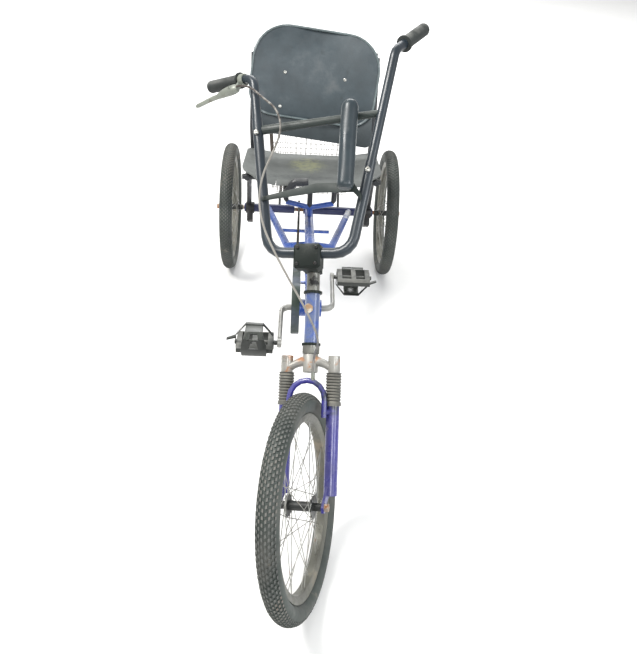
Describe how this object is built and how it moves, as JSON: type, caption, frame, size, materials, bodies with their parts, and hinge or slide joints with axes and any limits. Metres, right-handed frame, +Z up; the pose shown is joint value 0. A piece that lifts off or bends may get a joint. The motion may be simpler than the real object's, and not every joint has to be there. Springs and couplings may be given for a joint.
{
  "type": "recumbent trike",
  "caption": "Welded delta recumbent trike with a steered front wheel in a suspension fork, cranks at the head tube, chair seat, tall handlebar and rear wire basket.",
  "frame": {"origin": "on the floor under the middle of the whole trike's outline", "axes": "+X to the rider's left, +Y to the rear of the trike (the front wheel is at -Y), +Z up"},
  "size_m": [0.7486, 2.1508, 1.1341],
  "materials": {
    "tyre_rubber": "matte",
    "rim_metal": "satin",
    "spoke_steel": "satin",
    "hub_metal": "satin",
    "crown_metal": "satin",
    "boot_rubber": "matte",
    "fork_paint": "gloss",
    "axle_steel": "satin",
    "stem_black": "satin",
    "bar_paint": "gloss",
    "grip_rubber": "matte",
    "lever_metal": "satin",
    "band_paint": "satin",
    "post_cover": "satin",
    "frame_paint": "gloss",
    "headset_steel": "satin",
    "cross_paint": "gloss",
    "carrier_black": "satin",
    "chair_black": "satin",
    "seat_plastic": "matte",
    "back_plastic": "satin",
    "panel_plastic": "matte",
    "basket_wire": "satin",
    "guard_metal": "satin",
    "chain_steel": "satin",
    "crank_metal": "satin",
    "ring_steel": "satin",
    "pedal_plastic": "matte",
    "clip_black": "satin",
    "cable_cover": "satin"
  },
  "bodies": {
    "frame": {"frame": "frame_paint", "headset": "headset_steel", "cross_tube": "cross_paint", "wheel_carriers": "carrier_black", "stub_axle": "axle_steel", "seat_posts": "chair_black", "chair_frame": "chair_black", "seat_pan": "seat_plastic", "backrest": "back_plastic", "back_panel": "panel_plastic", "basket": "basket_wire", "basket_stays": "chair_black", "chain_guard": "guard_metal", "chain": "chain_steel"},
    "steering": {"fork_crown": "crown_metal", "fork_bellows": "boot_rubber", "fork_lowers": "fork_paint", "front_axle": "axle_steel", "stem": "stem_black", "handlebar": "bar_paint", "bar_extensions": "bar_paint", "grips": "grip_rubber", "crossbar": "bar_paint", "bar_band": "band_paint", "padded_post": "post_cover", "brake_lever": "lever_metal", "brake_cable": "cable_cover", "cable_stop": "lever_metal"},
    "front_wheel": {"front_tyre": "tyre_rubber", "front_rim": "rim_metal", "front_spokes": "spoke_steel", "front_hub": "hub_metal"},
    "rear_left_wheel": {"rear_left_tyre": "tyre_rubber", "rear_left_rim": "rim_metal", "rear_left_spokes": "spoke_steel", "rear_left_hub": "hub_metal"},
    "rear_right_wheel": {"rear_right_tyre": "tyre_rubber", "rear_right_rim": "rim_metal", "rear_right_spokes": "spoke_steel", "rear_right_hub": "hub_metal", "drive_shaft": "axle_steel"},
    "crank": {"crank": "crank_metal", "chainring": "ring_steel"},
    "pedal_left": {"pedal_left": "pedal_plastic", "toe_clip_left": "clip_black"},
    "pedal_right": {"pedal_right": "pedal_plastic", "toe_clip_right": "clip_black"}
  },
  "joints": [
    {"name": "steering_turn", "type": "hinge", "parent": "frame", "child": "steering", "pos_m": [0, -0.799, 0.2239], "axis": [0, 0.6428, 0.766], "range_deg": [-18, 52]},
    {"name": "front_wheel_spin", "type": "hinge", "parent": "steering", "child": "front_wheel", "pos_m": [-0.0117, -0.82831, 0.24849], "axis": [0.9563, -0.224, 0.1879], "continuous": true},
    {"name": "rear_left_wheel_spin", "type": "hinge", "parent": "frame", "child": "rear_left_wheel", "pos_m": [0.317, 0.77035, 0.253], "axis": [1, 0, 0], "continuous": true},
    {"name": "rear_right_wheel_spin", "type": "hinge", "parent": "frame", "child": "rear_right_wheel", "pos_m": [-0.317, 0.77035, 0.253], "axis": [1, 0, 0], "continuous": true},
    {"name": "crank_spin", "type": "hinge", "parent": "frame", "child": "crank", "pos_m": [0, -0.29565, 0.439], "axis": [1, 0, 0], "continuous": true},
    {"name": "pedal_left_spin", "type": "hinge", "parent": "crank", "child": "pedal_left", "pos_m": [0, -0.14647, 0.45468], "axis": [1, 0, 0], "continuous": true},
    {"name": "pedal_right_spin", "type": "hinge", "parent": "crank", "child": "pedal_right", "pos_m": [0, -0.44483, 0.42332], "axis": [1, 0, 0], "continuous": true}
  ]
}
